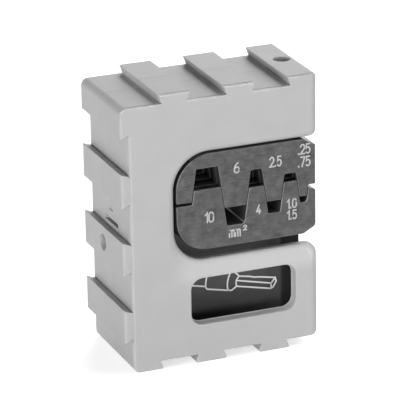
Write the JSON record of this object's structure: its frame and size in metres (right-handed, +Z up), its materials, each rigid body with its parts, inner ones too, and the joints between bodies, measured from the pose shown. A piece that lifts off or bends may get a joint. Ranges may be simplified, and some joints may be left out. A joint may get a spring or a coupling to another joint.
{
  "type": "ferrule crimping die set in storage case",
  "caption": "Pair of interlocking dark steel ferrule crimping dies held in an open-sided, stackable light grey storage case with dovetail rails.",
  "frame": {"origin": "centre of the underside, on the plane of the bottom rails' tips that the case stands on", "axes": "+X towards the open side of the case, where the dies slide out; +Y from the front face to the rear; +Z up"},
  "size_m": [0.0382, 0.02, 0.0525],
  "materials": {
    "case_plastic": "fine matt moulded",
    "die_steel": "black oxide, satin ground"
  },
  "bodies": {
    "case": {"front_shell": "case_plastic", "rear_shell": "case_plastic"},
    "lower_jaw": {"lower_die": "die_steel"},
    "upper_jaw": {"upper_die": "die_steel"}
  },
  "joints": [
    {"name": "die_slide", "type": "slide", "parent": "case", "child": "lower_jaw", "axis": [1, 0, 0], "range_m": [0, 0.032]},
    {"name": "die_close", "type": "slide", "parent": "lower_jaw", "child": "upper_jaw", "axis": [0, 0, 1], "range_m": [-0.00045, 0]}
  ]
}
